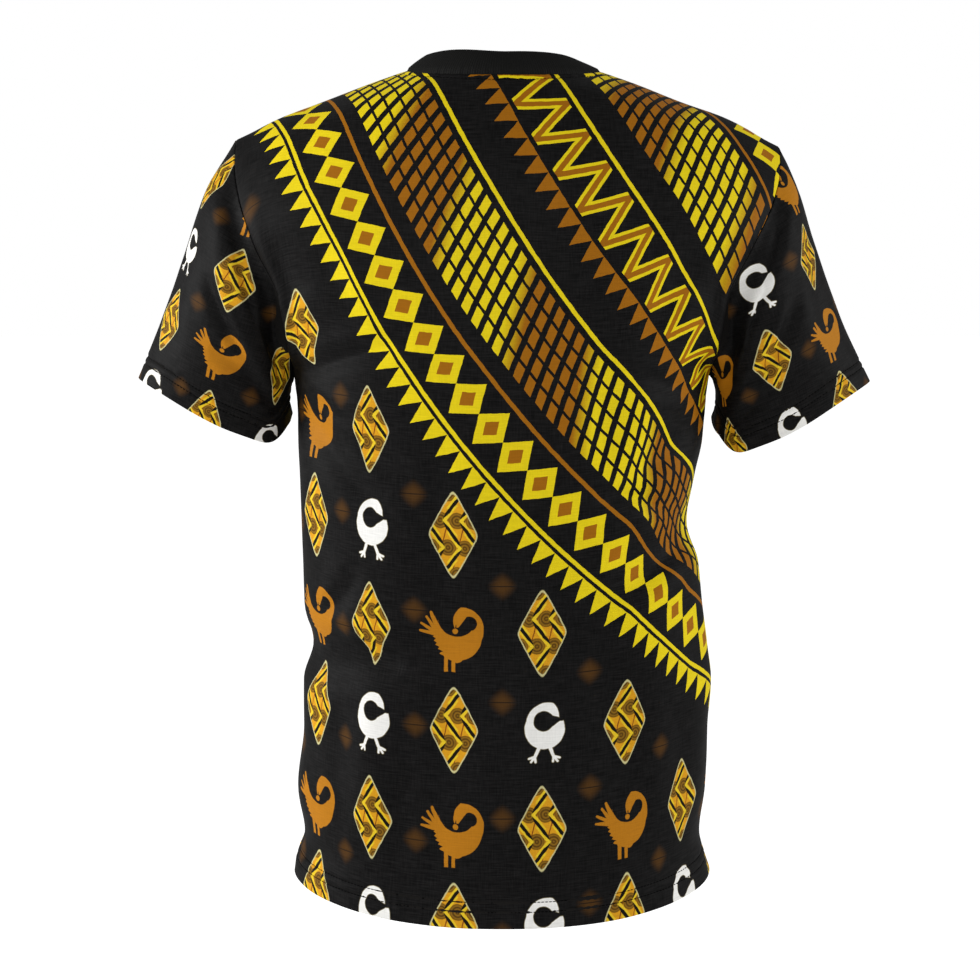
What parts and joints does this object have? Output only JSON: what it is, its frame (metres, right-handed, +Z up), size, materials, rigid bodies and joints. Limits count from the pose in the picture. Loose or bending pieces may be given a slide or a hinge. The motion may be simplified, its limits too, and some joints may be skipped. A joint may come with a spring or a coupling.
{
  "type": "african print t-shirt",
  "caption": "Crew-neck short-sleeved T-shirt with an all-over African print, worn and hollow, open at neck, cuffs and hem.",
  "frame": {"origin": "midway between the two high shoulder points, at their height, where the wearer's shoulders carry the shirt", "axes": "+Z up, the wearer faces -Y, so +Y is out of the back, and +X is the wearer's left"},
  "size_m": [0.65, 0.2562, 0.737],
  "materials": {
    "printed_knit": "matte printed jersey knit",
    "rib_knit": "matte black rib knit"
  },
  "bodies": {
    "root": {"back_panel": "printed_knit", "front_panel": "printed_knit", "left_sleeve": "printed_knit", "right_sleeve": "printed_knit", "neck_rib": "rib_knit"}
  },
  "joints": []
}
